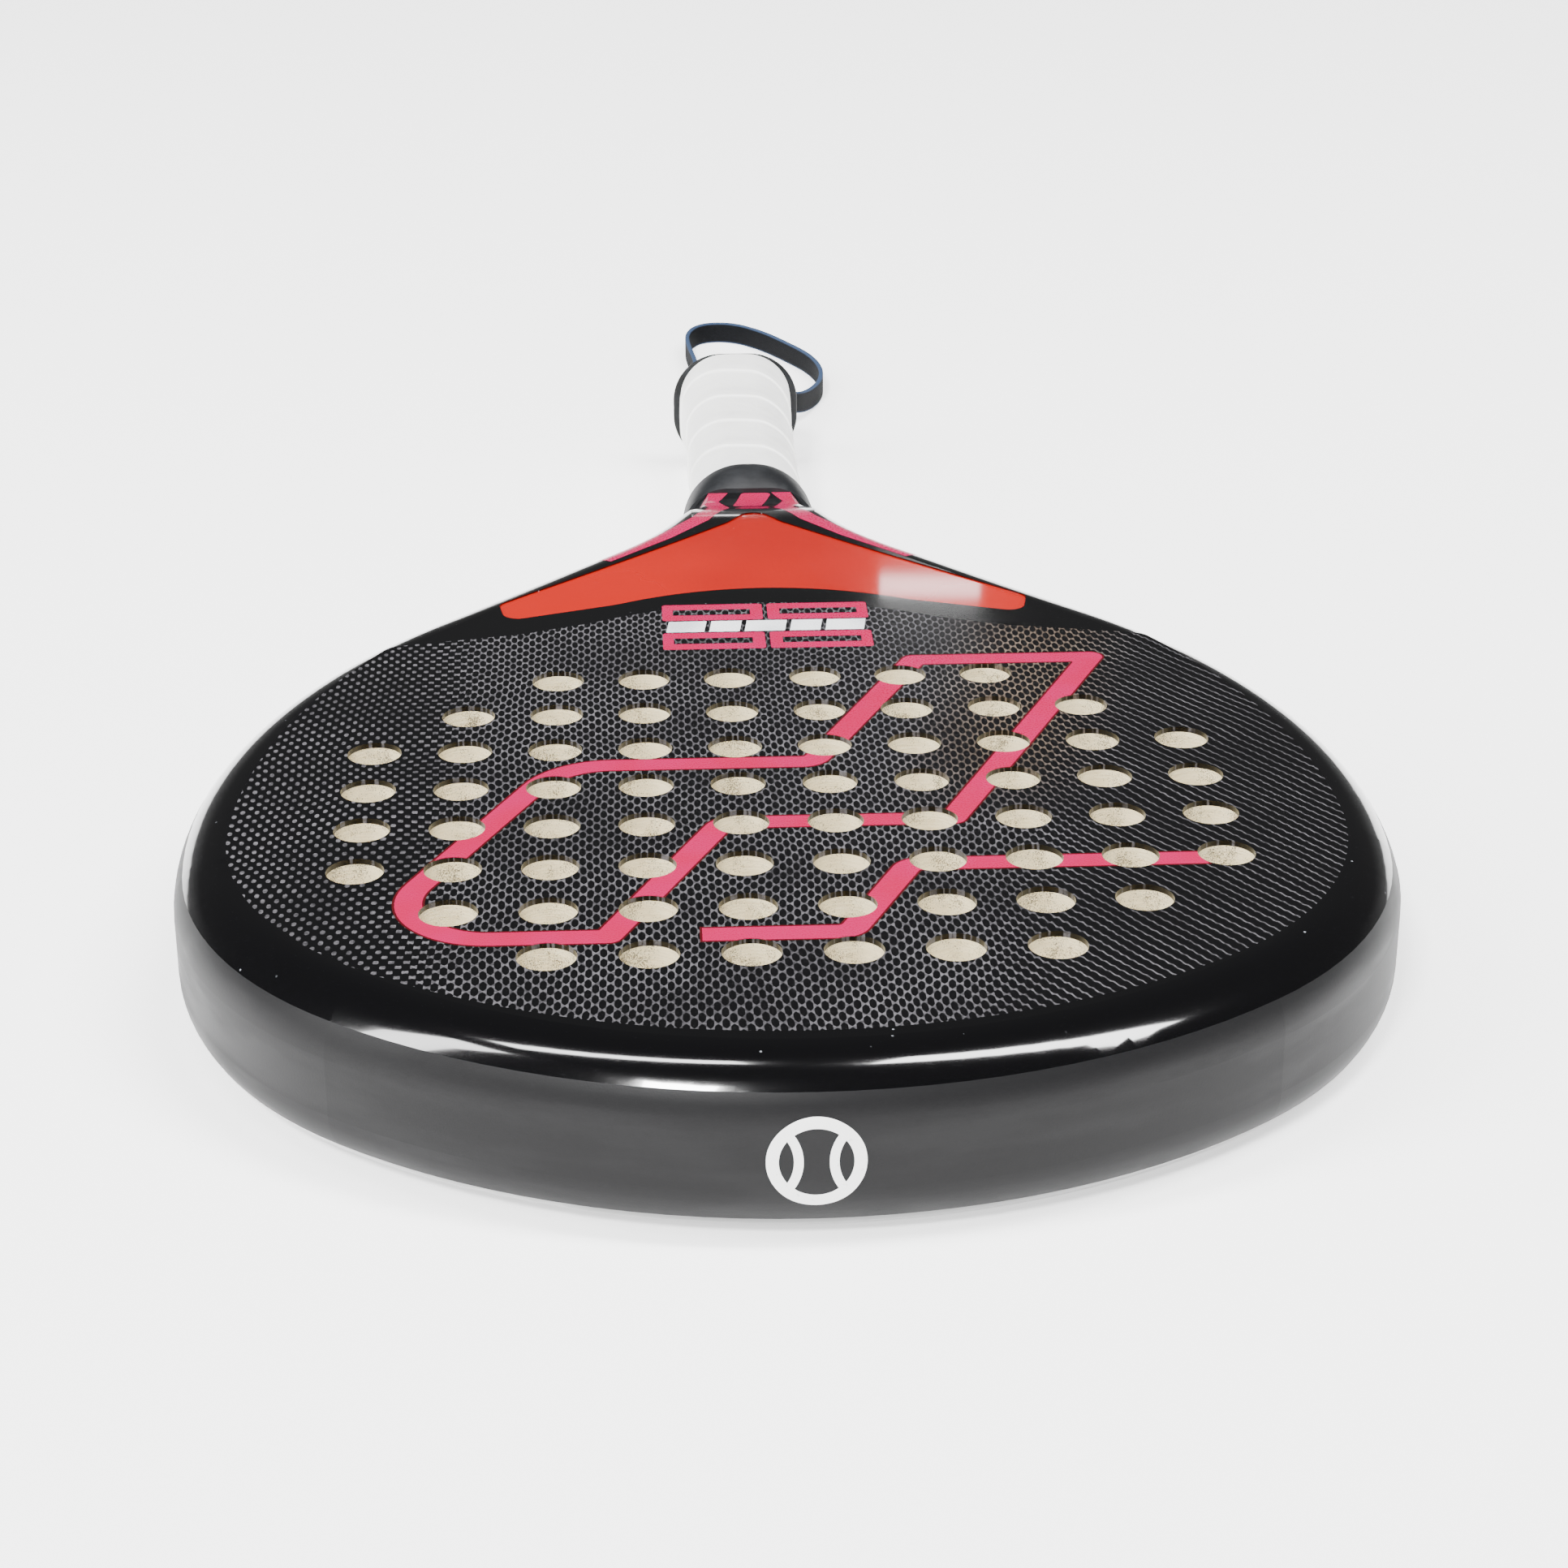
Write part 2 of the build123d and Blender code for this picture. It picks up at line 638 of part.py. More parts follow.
with BuildPart() as overgrip:
    add(grip_block(GRIP_START_Y, BASE_GRIP_T + OVERGRIP_T))
    add(cap_block(OVERGRIP_T))
    add(grip_block(GRIP_START_Y, BASE_GRIP_T), mode=Mode.SUBTRACT)
    add(cap_block(0), mode=Mode.SUBTRACT)
save(overgrip.part, "overgrip")

TAPE_OUT = BASE_GRIP_T + OVERGRIP_T + TAPE_T
TAPE_W, TAPE_H, TAPE_CORNER_R = SHELL_W + 2 * TAPE_OUT, SHELL_H + 2 * TAPE_OUT, SHELL_CORNER_R + TAPE_OUT

with BuildPart() as finishing_tape:
    add(rounded_bar(GRIP_START_Y, GRIP_START_Y + TAPE_LENGTH, TAPE_W, TAPE_H, TAPE_CORNER_R))
    add(grip_block(GRIP_START_Y, BASE_GRIP_T + OVERGRIP_T), mode=Mode.SUBTRACT)
save(finishing_tape.part, "finishing_tape")

with BuildPart() as grip_collar:
    for y, width, height, corner_r in (
        (COLLAR_START_Y, COLLAR_LIP_W, COLLAR_LIP_H, COLLAR_LIP_CORNER_R),
        (COLLAR_CREST_Y, COLLAR_CREST_D, COLLAR_CREST_D, COLLAR_CREST_CORNER_R),
        (COLLAR_END_Y, COLLAR_END_D, COLLAR_END_D, COLLAR_END_CORNER_R),
    ):
        with BuildSketch(Plane(origin=(0, y, MID_Z), x_dir=(1, 0, 0), z_dir=(0, 1, 0))):
            RectangleRounded(width, height, corner_r)
    loft()
    add(OUTSIDE, mode=Mode.SUBTRACT)
    add(rounded_bar(GRIP_START_Y, COLLAR_END_Y + 1, TAPE_W, TAPE_H, TAPE_CORNER_R), mode=Mode.SUBTRACT)
save(grip_collar.part, "grip_collar")

# ========================================================================================================
# Butt cap, strap pin and strap
# ========================================================================================================

with BuildPart() as mouth:
    with BuildSketch(Plane.XY.offset(MID_Z - MOUTH_HALF_H)):
        with Locations((0, PIN_Y)):
            Circle(MOUTH_R)
        with Locations((0, BUTT_Y + 0.5)):
            Rectangle(2 * MOUTH_HALF_W, 1)
        make_hull()
    extrude(amount=2 * MOUTH_HALF_H)

with BuildPart() as strap_pin:
    with BuildSketch(Plane.XY.offset(MID_Z - PIN_HALF_LENGTH)):
        with Locations((0, PIN_Y)):
            Circle(PIN_R)
    extrude(amount=2 * PIN_HALF_LENGTH)
save(strap_pin.part, "strap_pin")

with BuildPart() as butt_cap:
    add(rounded_bar(CAP_RIM_START_Y, BUTT_Y, CAP_W, CAP_H, CAP_CORNER_R))
    fillet(butt_cap.faces().sort_by(Axis.Y)[-1].edges(), CAP_EDGE_R)
    fillet(butt_cap.faces().sort_by(Axis.Y)[0].edges(), CAP_EDGE_R / 3)
    add(cap_block(0))
    add(shell_block(FOAM_END_Y + 1, SHELL_END_Y, SHELL_WALL))
    add(mouth.part, mode=Mode.SUBTRACT)
    add(strap_pin.part, mode=Mode.SUBTRACT)
save(butt_cap.part, "butt_cap")

with BuildPart() as strap_eye:
    with BuildSketch(Plane.XY.offset(MID_Z - STRAP_W / 2)):
        with Locations((0, PIN_Y)):
            Circle(PIN_R + EYE_CLEARANCE + EYE_T)
        with Locations((0, (PIN_Y + EYE_END_Y) / 2)):
            Rectangle(2 * STRAND_X + STRAP_T, EYE_END_Y - PIN_Y)
        with Locations((0, PIN_Y)):
            Circle(PIN_R + EYE_CLEARANCE, mode=Mode.SUBTRACT)
    extrude(amount=STRAP_W)
save(strap_eye.part, "strap_eye")

# The strap's route, seen from above: out of the eye, round the loop and back into it.
STRAP_ROUTE = (
    (STRAND_X, EYE_END_Y),
    (1.4, 239),
    (6, 248),
    (14, 256),
    (21, 266),
    (25.5, 278),
    (30, 291),
    (31.5, 305),
    (28.5, 321),
    (21, 336),
    (13, 350),
    (3, 360.5),
    (-8, 360),
    (-13, 349),
    (-12.5, 334),
    (-10.5, 317),
    (-10, 299),
    (-9, 281),
    (-8, 265),
    (-4.5, 252),
    (-1.3, 240.5),
    (-STRAND_X, EYE_END_Y),
)
# The middle of the strap's width along the racket's length: it sags from the cap to the table.
STRAP_SAG = ((EYE_END_Y - 1, MID_Z), (240, 18.2), (254, 12.6), (270, 5.6), (284, STRAP_W / 2), (400, STRAP_W / 2))


def bend_radii(points: tuple) -> list[float]:
    """The largest tangent arc that fits each corner of a route."""
    radii = []
    for before, here, after in zip(points, points[1:], points[2:]):
        run_in = Vector(*here) - Vector(*before)
        run_out = Vector(*after) - Vector(*here)
        turn = math.radians(run_in.get_angle(run_out))
        radii.append(0.45 * min(run_in.length, run_out.length) / math.tan(turn / 2))
    return radii


strap_radii = bend_radii(STRAP_ROUTE)
print("strap radii", [round(radius, 1) for radius in strap_radii])

with BuildPart() as wrist_strap:
    with BuildSketch() as strap_plan:
        with BuildLine() as strap_line:
            FilletPolyline(*STRAP_ROUTE, radius=strap_radii)
        trace(strap_line.line, line_width=STRAP_T)
    extrude(amount=THICK)
    with BuildSketch(Plane.YZ):
        with BuildLine():
            lower = Polyline(*[(y, z - STRAP_W / 2) for y, z in STRAP_SAG])
            upper = Polyline(*[(y, z + STRAP_W / 2) for y, z in STRAP_SAG])
            Line(lower @ 0, upper @ 0)
            Line(lower @ 1, upper @ 1)
        make_face()
    extrude(amount=100, both=True, mode=Mode.INTERSECT)
print(f"strap length seen from above {sum(edge.length for edge in strap_line.edges()):.1f} mm")
save(wrist_strap.part, "wrist_strap")
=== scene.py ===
"""A padel racket lying on its back face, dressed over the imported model.

Lengths are metres in the racket's own frame: +Z out of the front face, +Y from the tip of the head to the
butt, and the table at z = 0. Sizes that a maker would quote are written as millimetres times MM.
"""

import enum
import json
import logging
import math
from dataclasses import dataclass

import bmesh
import bpy
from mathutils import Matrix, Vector


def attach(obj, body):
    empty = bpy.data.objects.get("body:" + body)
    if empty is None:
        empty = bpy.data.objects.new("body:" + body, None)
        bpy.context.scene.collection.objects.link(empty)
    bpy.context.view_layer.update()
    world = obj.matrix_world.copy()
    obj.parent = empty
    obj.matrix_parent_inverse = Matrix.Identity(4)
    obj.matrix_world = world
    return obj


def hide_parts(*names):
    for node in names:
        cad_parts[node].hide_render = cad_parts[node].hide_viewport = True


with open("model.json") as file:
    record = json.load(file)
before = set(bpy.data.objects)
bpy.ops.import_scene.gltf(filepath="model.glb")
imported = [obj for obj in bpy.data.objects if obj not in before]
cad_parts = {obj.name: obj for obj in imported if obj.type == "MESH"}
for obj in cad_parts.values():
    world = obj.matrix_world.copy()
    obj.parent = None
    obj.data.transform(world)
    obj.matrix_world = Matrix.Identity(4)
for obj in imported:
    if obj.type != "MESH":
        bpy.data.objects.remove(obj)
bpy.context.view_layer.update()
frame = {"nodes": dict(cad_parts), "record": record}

MM = 0.001
log = logging.getLogger("racket")


# --- Shared helpers ------------------------------------------------------------------------------------------


def linear(hex_colour: str) -> tuple[float, float, float, float]:
    """Turn an sRGB colour into the linear one that shaders take.

    Args:
        hex_colour: The colour as "#rrggbb".

    Returns:
        Red, green, blue and an alpha of 1.
    """
    parts = [int(hex_colour[i : i + 2], 16) / 255 for i in (1, 3, 5)]
    return (*[p / 12.92 if p <= 0.04045 else ((p + 0.055) / 1.055) ** 2.4 for p in parts], 1.0)


def add_node(tree: bpy.types.NodeTree, kind: str, inputs: dict | None = None, **settings) -> bpy.types.Node:
    """Add one shader node with its settings and links.

    Args:
        tree: The node tree that gets the node.
        kind: The node's type name.
        inputs: Values or output sockets for its inputs, by name or number.
        **settings: Properties of the node itself.

    Returns:
        The new node.
    """
    node = tree.nodes.new(kind)
    for name, value in settings.items():
        setattr(node, name, value)
    for key, value in (inputs or {}).items():
        if isinstance(value, bpy.types.NodeSocket):
            tree.links.new(value, node.inputs[key])
        else:
            node.inputs[key].default_value = value
    return node


def smooth_step(value: float, low: float, high: float) -> float:
    """Ease from 0 at low to 1 at high."""
    t = min(max((value - low) / (high - low), 0.0), 1.0)
    return t * t * (3 - 2 * t)


def finished(mesh_name: str, shape: bmesh.types.BMesh, sharp_deg: float = 40.0) -> bpy.types.Object:
    """Turn a bmesh into an object at the origin with soft shading and crisp edges.

    Args:
        mesh_name: The piece's name.
        shape: The modelled shape, which is freed.
        sharp_deg: Edges that turn by more than this stay crisp.

    Returns:
        The new object, linked to the scene.
    """
    mesh = bpy.data.meshes.new(mesh_name)
    shape.to_mesh(mesh)
    shape.free()
    for polygon in mesh.polygons:
        polygon.use_smooth = True
    mesh.set_sharp_from_angle(angle=math.radians(sharp_deg))
    piece = bpy.data.objects.new(mesh_name, mesh)
    bpy.context.scene.collection.objects.link(piece)
    return piece


class Body(enum.Enum):
    """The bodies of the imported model."""

    RACKET = "racket"
    STRAP = "strap"


def mount(piece: bpy.types.Object, body: Body, slot: str, *nodes: str) -> bpy.types.Object:
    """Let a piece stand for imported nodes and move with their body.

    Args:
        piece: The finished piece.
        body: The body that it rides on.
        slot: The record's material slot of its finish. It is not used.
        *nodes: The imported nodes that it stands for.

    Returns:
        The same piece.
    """
    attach(piece, body.value)
    if nodes:
        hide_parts(*nodes)
    log.info("%s: %d faces", piece.name, len(piece.data.polygons))
    return piece


def dress(piece: bpy.types.Object, *materials: bpy.types.Material) -> None:
    """Give a piece its materials, in the order of its material numbers."""
    if piece.data.materials:
        piece.data.materials.clear()
    for material in materials:
        piece.data.materials.append(material)


# --- Finishes ------------------------------------------------------------------------------------------------


class Finish:
    """A finish that builds one node material. Subclasses set the name and fill in paint."""

    name = "finish"

    def paint(self, tree: bpy.types.NodeTree, shader: bpy.types.Node, mm: bpy.types.NodeSocket) -> None:
        """Add the finish's own nodes.

        Args:
            tree: The material's node tree.
            shader: Its Principled shader.
            mm: Object coordinates in millimetres.
        """
        raise NotImplementedError

    def material(self) -> bpy.types.Material:
        """Build the material, once for each name."""
        known = bpy.data.materials.get(self.name)
        if known:
            return known
        material = bpy.data.materials.new(self.name)
        material.use_nodes = True
        tree = material.node_tree
        shader = tree.nodes["Principled BSDF"]
        place = add_node(tree, "ShaderNodeTexCoord")
        mm = add_node(
            tree, "ShaderNodeVectorMath", {0: place.outputs["Object"], 1: (1000.0,) * 3}, operation="MULTIPLY"
        )
        self.paint(tree, shader, mm.outputs[0])
        return material


def noise(
    tree: bpy.types.NodeTree, mm: bpy.types.NodeSocket, size_mm: float, detail: float = 2.0, rough: float = 0.5
) -> bpy.types.NodeSocket:
    """Fractal noise whose blobs are about size_mm across."""
    node = add_node(
        tree, "ShaderNodeTexNoise", {"Vector": mm, "Scale": 1.0 / size_mm, "Detail": detail, "Roughness": rough}
    )
    return node.outputs["Fac"]


def ramp(
    tree: bpy.types.NodeTree, value: bpy.types.NodeSocket, low: float, high: float, start: float, end: float
) -> bpy.types.NodeSocket:
    """Map low..high smoothly to start..end, held at both ends."""
    node = add_node(
        tree,
        "ShaderNodeMapRange",
        {"Value": value, "From Min": low, "From Max": high, "To Min": start, "To Max": end},
        interpolation_type="SMOOTHSTEP",
    )
    return node.outputs[0]


def blend_colour(
    tree: bpy.types.NodeTree, factor: bpy.types.NodeSocket, first: object, second: object
) -> bpy.types.NodeSocket:
    """Mix two colours, each a hex text or a socket, by a factor."""
    colours = [linear(c) if isinstance(c, str) else c for c in (first, second)]
    node = add_node(
        tree, "ShaderNodeMix", {0: factor, 6: colours[0], 7: colours[1]}, data_type="RGBA", clamp_factor=True
    )
    return node.outputs[2]


def bump(
    tree: bpy.types.NodeTree, height: bpy.types.NodeSocket, depth_mm: float, below: object = None
) -> bpy.types.NodeSocket:
    """A bump of depth_mm, laid over another bump's normal if one is given."""
    inputs = {"Height": height, "Strength": 1.0, "Distance": depth_mm * MM}
    if below is not None:
        inputs["Normal"] = below
    return add_node(tree, "ShaderNodeBump", inputs).outputs[0]


def calculate(tree: bpy.types.NodeTree, operation: str, *values: object) -> bpy.types.NodeSocket:
    """One Math node on numbers or sockets."""
    return add_node(tree, "ShaderNodeMath", dict(enumerate(values)), operation=operation).outputs[0]


@dataclass(frozen=True)
class GlossLacquer(Finish):
    """Clear lacquer over black moulded carbon: near-black, mirror-like, with dust and hairline scratches."""

    name: str = "gloss_lacquer_over_carbon"
    colour: str = "#040405"
    roughness: float = 0.10
    dust_mm: float = 0.5

    def paint(self, tree: bpy.types.NodeTree, shader: bpy.types.Node, mm: bpy.types.NodeSocket) -> None:
        """Black with a coat, orange peel, specks of dust and long faint scratches."""
        dust = add_node(tree, "ShaderNodeTexVoronoi", {"Vector": mm, "Scale": 0.22, "Randomness": 1.0})
        core, rim = 0.035 * self.dust_mm / 0.5, 0.07 * self.dust_mm / 0.5
        speck = ramp(tree, dust.outputs["Distance"], core, rim, 1.0, 0.0)
        sparse = ramp(tree, noise(tree, mm, 22.0), 0.5, 0.62, 0.0, 1.0)
        settled = calculate(tree, "MULTIPLY", speck, sparse)
        tree.links.new(blend_colour(tree, settled, self.colour, "#8C9096"), shader.inputs["Base Color"])
        stretched = add_node(tree, "ShaderNodeMapping", {"Vector": mm, "Scale": (0.12, 2.4, 2.4)})
        hairline = noise(tree, stretched.outputs[0], 1.0, 4.0, 0.6)
        worn = calculate(tree, "ADD", ramp(tree, hairline, 0.56, 0.72, 0.0, 0.04), self.roughness)
        dusty = calculate(tree, "MULTIPLY", settled, 0.5)
        tree.links.new(calculate(tree, "ADD", worn, dusty), shader.inputs["Roughness"])
        shader.inputs["IOR"].default_value = 1.5
        shader.inputs["Coat Weight"].default_value = 0.6
        shader.inputs["Coat Roughness"].default_value = 0.03
        tree.links.new(bump(tree, noise(tree, mm, 6.0, 0.0), 0.004), shader.inputs["Normal"])


@dataclass(frozen=True)
class WovenFace(Finish):
    """A coarse glass and carbon weave under clear resin.

    The pale threads cross the black ones as a net of long six-sided cells. Towards the left the net breaks up
    into staggered dashes, and towards the right one set of threads takes over as slanted lines.
    """

    name: str = "resin_coated_weave"
    column_mm: float = 1.45
    cell_mm: float = 4.3
    thread: str = "#605E62"
    ground: str = "#030304"

    def paint(self, tree: bpy.types.NodeTree, shader: bpy.types.Node, mm: bpy.types.NodeSocket) -> None:
        """Three plane waves make the net, and their shares change across the face."""
        wander = add_node(
            tree, "ShaderNodeTexNoise", {"Vector": mm, "Scale": 1 / 26.0, "Detail": 1.0}, noise_dimensions="3D"
        )
        shift = add_node(
            tree, "ShaderNodeVectorMath", {0: wander.outputs["Color"], 1: (2.6, 3.6, 0.0)}, operation="MULTIPLY"
        )
        laid = add_node(tree, "ShaderNodeVectorMath", {0: mm, 1: shift.outputs[0]}, operation="ADD")
        across = add_node(tree, "ShaderNodeSeparateXYZ", {"Vector": mm})
        left = ramp(tree, across.outputs["X"], -55.0, -105.0, 0.0, 1.0)
        slope = calculate(tree, "MULTIPLY_ADD", across.outputs["Y"], -0.22, across.outputs["X"])
        right = ramp(tree, slope, 62.0, 112.0, 0.0, 1.0)
        turn = 2 * math.pi
        waves = (
            (turn / (2 * self.column_mm), turn / self.cell_mm),
            (-turn / (2 * self.column_mm), turn / self.cell_mm),
            (turn / self.column_mm, 0.0),
        )
        shares = (
            1.0,
            ramp(tree, right, 0.0, 1.0, 1.0, 0.25),
            calculate(
                tree,
                "SUBTRACT",
                ramp(tree, left, 0.0, 1.0, 1.0, -0.25),
                ramp(tree, right, 0.0, 1.0, 0.0, 0.7),
            ),
        )
        net = None
        for (along_x, along_y), share in zip(waves, shares):
            phase = add_node(
                tree,
                "ShaderNodeVectorMath",
                {0: laid.outputs[0], 1: (along_x, along_y, 0.0)},
                operation="DOT_PRODUCT",
            )
            part = calculate(tree, "MULTIPLY", calculate(tree, "COSINE", phase.outputs["Value"]), share)
            net = part if net is None else calculate(tree, "ADD", net, part)
        thread = ramp(tree, net, -1.05, -0.72, 1.0, 0.0)
        uneven = ramp(tree, noise(tree, mm, 1.1, 3.0, 0.7), 0.34, 0.62, 0.35, 1.0)
        patchy = ramp(tree, noise(tree, mm, 34.0, 2.0), 0.3, 0.7, 0.55, 1.0)
        strength = calculate(tree, "MULTIPLY", calculate(tree, "MULTIPLY", thread, uneven), patchy)
        warm = calculate(
            tree, "MULTIPLY", ramp(tree, slope, 40.0, 66.0, 0.0, 1.0), ramp(tree, slope, 74.0, 96.0, 1.0, 0.0)
        )
        warm = calculate(tree, "MULTIPLY", warm, ramp(tree, across.outputs["Y"], -125.0, -80.0, 0.0, 1.0))
        thread_colour = blend_colour(tree, warm, self.thread, "#6C5E52")
        tree.links.new(blend_colour(tree, strength, self.ground, thread_colour), shader.inputs["Base Color"])
        tree.links.new(ramp(tree, strength, 0.0, 1.0, 0.32, 0.55), shader.inputs["Roughness"])
        shader.inputs["Specular IOR Level"].default_value = 0.35
        shader.inputs["Coat Weight"].default_value = 0.35
        shader.inputs["Coat Roughness"].default_value = 0.12
        raised = bump(tree, strength, 0.05)
        tree.links.new(bump(tree, noise(tree, mm, 0.8, 2.0), 0.01, raised), shader.inputs["Normal"])


@dataclass(frozen=True)
class FoamCore(Finish):
    """Closed-cell EVA foam cut by a drill: cream and matt, with burnt specks and faint turning marks."""

    name: str = "drilled_eva_foam"
    cream: str = "#F1E4BE"
    speck: str = "#4E4637"

    def paint(self, tree: bpy.types.NodeTree, shader: bpy.types.Node, mm: bpy.types.NodeSocket) -> None:
        """Cream with specks that gather in patches, and rings left by the drill."""
        grains = noise(tree, mm, 0.28, 3.0, 0.75)
        patches = noise(tree, mm, 6.0, 2.0, 0.6)
        threshold = calculate(tree, "MULTIPLY_ADD", patches, -0.55, 0.86)
        dark = ramp(tree, calculate(tree, "SUBTRACT", grains, threshold), -0.03, 0.05, 0.0, 0.85)
        turned = add_node(tree, "ShaderNodeMapping", {"Vector": mm, "Scale": (0.2, 0.2, 2.2)})
        rings = ramp(tree, noise(tree, turned.outputs[0], 1.0, 3.0, 0.6), 0.35, 0.65, 0.0, 0.4)
        cut = blend_colour(tree, rings, self.cream, "#D3C398")
        tree.links.new(blend_colour(tree, dark, cut, self.speck), shader.inputs["Base Color"])
        shader.inputs["Roughness"].default_value = 0.78
        shader.inputs["Subsurface Weight"].default_value = 0.15
        shader.inputs["Subsurface Radius"].default_value = (1.0 * MM, 0.8 * MM, 0.5 * MM)
        tree.links.new(bump(tree, grains, 0.12, bump(tree, rings, 0.08)), shader.inputs["Normal"])


@dataclass(frozen=True)
class LacqueredInk(Finish):
    """Screen-printed ink under the clear lacquer: strong flat colour, gloss, slightly cloudy."""

    name: str = "lacquered_ink_pink"
    colour: str = "#A4003E"
    cloud: str = "#A60648"
    roughness: float = 0.24

    def paint(self, tree: bpy.types.NodeTree, shader: bpy.types.Node, mm: bpy.types.NodeSocket) -> None:
        """Two near tones in soft clouds, a fine ink grain and a thin coat."""
        clouds = ramp(tree, noise(tree, mm, 18.0, 2.0), 0.35, 0.65, 0.0, 1.0)
        tree.links.new(blend_colour(tree, clouds, self.colour, self.cloud), shader.inputs["Base Color"])
        grain = noise(tree, mm, 0.5, 2.0)
        uneven = ramp(tree, grain, 0.3, 0.7, self.roughness, self.roughness + 0.1)
        tree.links.new(uneven, shader.inputs["Roughness"])
        shader.inputs["Coat Weight"].default_value = 0.25
        shader.inputs["Coat Roughness"].default_value = 0.08
        tree.links.new(bump(tree, grain, 0.008), shader.inputs["Normal"])


@dataclass(frozen=True)
class PolishedPanel(Finish):
    """Coral paint polished to a high gloss, deeper where it is thick."""

    name: str = "polished_coral_paint"
    colour: str = "#AC1407"
    shade: str = "#9E1006"

    def paint(self, tree: bpy.types.NodeTree, shader: bpy.types.Node, mm: bpy.types.NodeSocket) -> None:
        """A broad drift between two corals under a clear hard coat."""
        drift = ramp(tree, noise(tree, mm, 45.0, 1.0), 0.3, 0.7, 0.0, 1.0)
        tree.links.new(blend_colour(tree, drift, self.colour, self.shade), shader.inputs["Base Color"])
        smear = ramp(tree, noise(tree, mm, 30.0, 3.0, 0.6), 0.35, 0.7, 0.16, 0.26)
        tree.links.new(smear, shader.inputs["Roughness"])
        shader.inputs["Coat Weight"].default_value = 1.0
        shader.inputs["Coat Roughness"].default_value = 0.04


@dataclass(frozen=True)
class MouldedBand(Finish):
    """A moulded guard band in satin polyurethane: dark grey, finely grained, scuffed by the court."""

    name: str = "satin_moulded_band"
    colour: str = "#111112"
    rubbed: str = "#181819"

    def paint(self, tree: bpy.types.NodeTree, shader: bpy.types.Node, mm: bpy.types.NodeSocket) -> None:
        """Grain, long soft rubs along the edge and a few pale scuffs."""
        stretched = add_node(tree, "ShaderNodeMapping", {"Vector": mm, "Scale": (0.03, 0.03, 0.14)})
        rubs = ramp(tree, noise(tree, stretched.outputs[0], 1.0, 3.0, 0.5), 0.4, 0.7, 0.0, 0.6)
        scuff = ramp(tree, noise(tree, mm, 3.2, 5.0, 0.7), 0.64, 0.72, 0.0, 0.35)
        tone = blend_colour(tree, calculate(tree, "MAXIMUM", rubs, scuff), self.colour, self.rubbed)
        tree.links.new(tone, shader.inputs["Base Color"])
        grain = noise(tree, mm, 0.35, 2.0, 0.6)
        tree.links.new(ramp(tree, rubs, 0.0, 0.6, 0.46, 0.38), shader.inputs["Roughness"])
        shader.inputs["Specular IOR Level"].default_value = 0.18
        tree.links.new(bump(tree, grain, 0.02, bump(tree, scuff, 0.02)), shader.inputs["Normal"])


@dataclass(frozen=True)
class PadPrint(Finish):
    """White pad-printed ink on the guard band: off-white, satin, thin enough to take the band's grain."""

    name: str = "pad_printed_white"
    colour: str = "#EFEFED"
    worn: str = "#B9B9B8"

    def paint(self, tree: bpy.types.NodeTree, shader: bpy.types.Node, mm: bpy.types.NodeSocket) -> None:
        """Off-white rubbed thin in small patches."""
        thin = ramp(tree, noise(tree, mm, 1.6, 4.0, 0.7), 0.6, 0.74, 0.0, 0.7)
        tree.links.new(blend_colour(tree, thin, self.colour, self.worn), shader.inputs["Base Color"])
        shader.inputs["Roughness"].default_value = 0.42
        tree.links.new(bump(tree, noise(tree, mm, 0.35, 2.0), 0.015), shader.inputs["Normal"])


@dataclass(frozen=True)
class SatinRubber(Finish):
    """Moulded rubber: charcoal with a broad soft sheen, talc in the grain and lighter rubbed edges."""

    name: str = "satin_rubber"
    colour: str = "#17181A"
    bloom: str = "#28292B"
    roughness: float = 0.5

    def paint(self, tree: bpy.types.NodeTree, shader: bpy.types.Node, mm: bpy.types.NodeSocket) -> None:
        """Cloudy bloom, fine grain, and rubbed convex edges."""
        bloom = ramp(tree, noise(tree, mm, 7.0, 4.0, 0.6), 0.4, 0.72, 0.0, 0.7)
        edge = add_node(tree, "ShaderNodeNewGeometry").outputs["Pointiness"]
        rubbed = ramp(tree, edge, 0.52, 0.6, 0.0, 0.6)
        tone = blend_colour(tree, calculate(tree, "MAXIMUM", bloom, rubbed), self.colour, self.bloom)
        tree.links.new(tone, shader.inputs["Base Color"])
        shader.inputs["Roughness"].default_value = self.roughness
        shader.inputs["Specular IOR Level"].default_value = 0.25
        tree.links.new(bump(tree, noise(tree, mm, 0.5, 3.0, 0.6), 0.03), shader.inputs["Normal"])


@dataclass(frozen=True)
class OvergripWrap(Finish):
    """Soft white polyurethane wrap: slightly tacky, faintly pebbled, greyed by hands, with painted shade in the
    hollows at the laps.
    """

    name: str = "tacky_white_wrap"
    colour: str = "#F4F4F2"
    # Greyer white, used for the real handling marks and for the painted shade at the laps.
    handled_and_lap_shade: str = "#D8D6D2"

    def paint(self, tree: bpy.types.NodeTree, shader: bpy.types.Node, mm: bpy.types.NodeSocket) -> None:
        """White with handling marks, painted shade at the laps, pebble grain and a soft sheen."""
        marks = ramp(tree, noise(tree, mm, 12.0, 5.0, 0.6), 0.5, 0.78, 0.0, 0.55)
        # Painted shade: the hollows where one turn laps the next are greyed.
        lap = ramp(tree, add_node(tree, "ShaderNodeNewGeometry").outputs["Pointiness"], 0.44, 0.49, 0.5, 0.0)
        # One mask carries both the handling marks and the painted lap shade.
        soiled_and_lap_shade = calculate(tree, "MAXIMUM", marks, lap)
        tree.links.new(blend_colour(tree, soiled_and_lap_shade, self.colour, self.handled_and_lap_shade), shader.inputs["Base Color"])
        shader.inputs["Roughness"].default_value = 0.55
        shader.inputs["Sheen Weight"].default_value = 0.15
        pebble = noise(tree, mm, 0.45, 2.0, 0.5)
        crease = noise(tree, mm, 5.0, 2.0, 0.5)
        tree.links.new(bump(tree, pebble, 0.05, bump(tree, crease, 0.25)), shader.inputs["Normal"])


